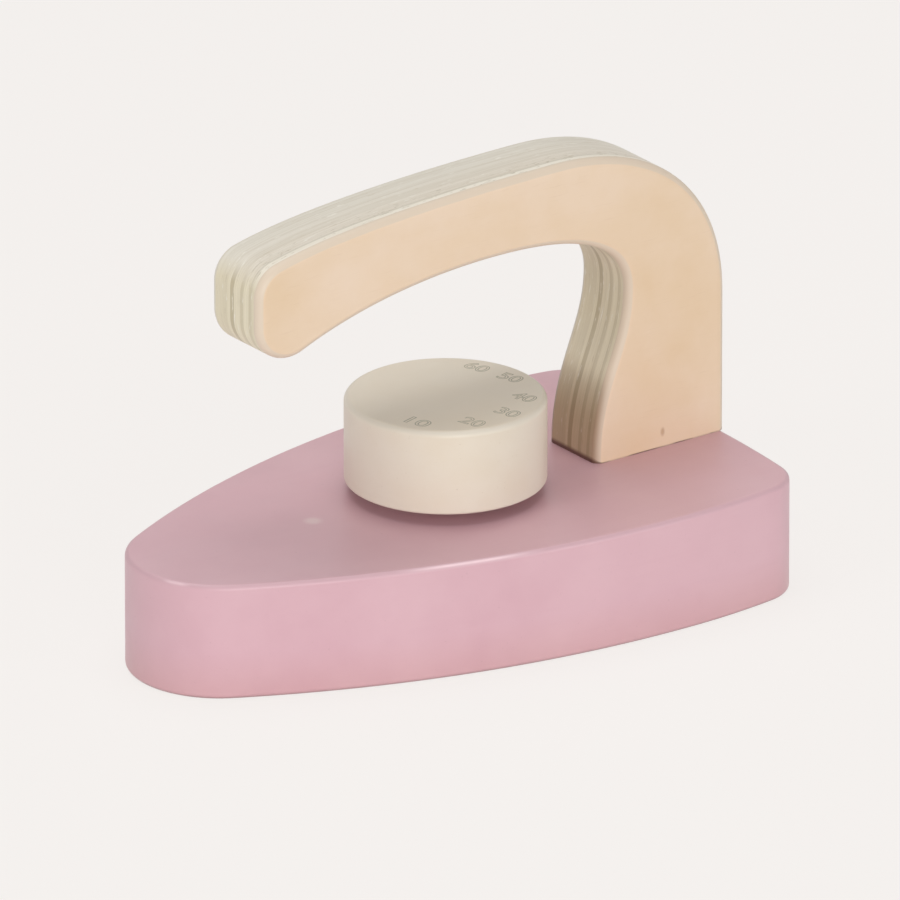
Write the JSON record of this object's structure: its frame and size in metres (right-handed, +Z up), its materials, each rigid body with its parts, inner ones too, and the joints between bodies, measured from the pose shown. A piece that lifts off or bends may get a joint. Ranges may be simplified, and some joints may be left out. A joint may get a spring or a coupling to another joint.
{
  "type": "toy iron",
  "caption": "Toy iron: a painted wooden block with a pointed nose, an open plywood handle over it and a round dial that turns.",
  "frame": {"origin": "middle of the iron's length and width, on the block's underside", "axes": "+X to the heel, where the handle stands, -X to the nose, +Y across, +Z up"},
  "size_m": [0.1528, 0.09, 0.1005],
  "materials": {
    "pink_paint": "satin pink paint",
    "plywood": "birch plywood, fine sanded, clear matte lacquer",
    "cream_paint": "satin cream paint",
    "steel": "zinc plated",
    "nylon": "natural nylon"
  },
  "bodies": {
    "iron": {"base_block": "pink_paint", "handle": "plywood", "handle_screw_front": "steel", "handle_screw_plug_front": "pink_paint", "handle_screw_rear": "steel", "handle_screw_plug_rear": "pink_paint", "dial_spacer": "nylon", "dial_thrust_washer": "steel", "dial_screw_plug": "pink_paint"},
    "dial": {"dial": "cream_paint", "dial_screw": "steel"}
  },
  "joints": [
    {"name": "dial_turn", "type": "hinge", "parent": "iron", "child": "dial", "pos_m": [0.006, 0, 0.0296], "axis": [0, 0, 1], "continuous": true}
  ]
}
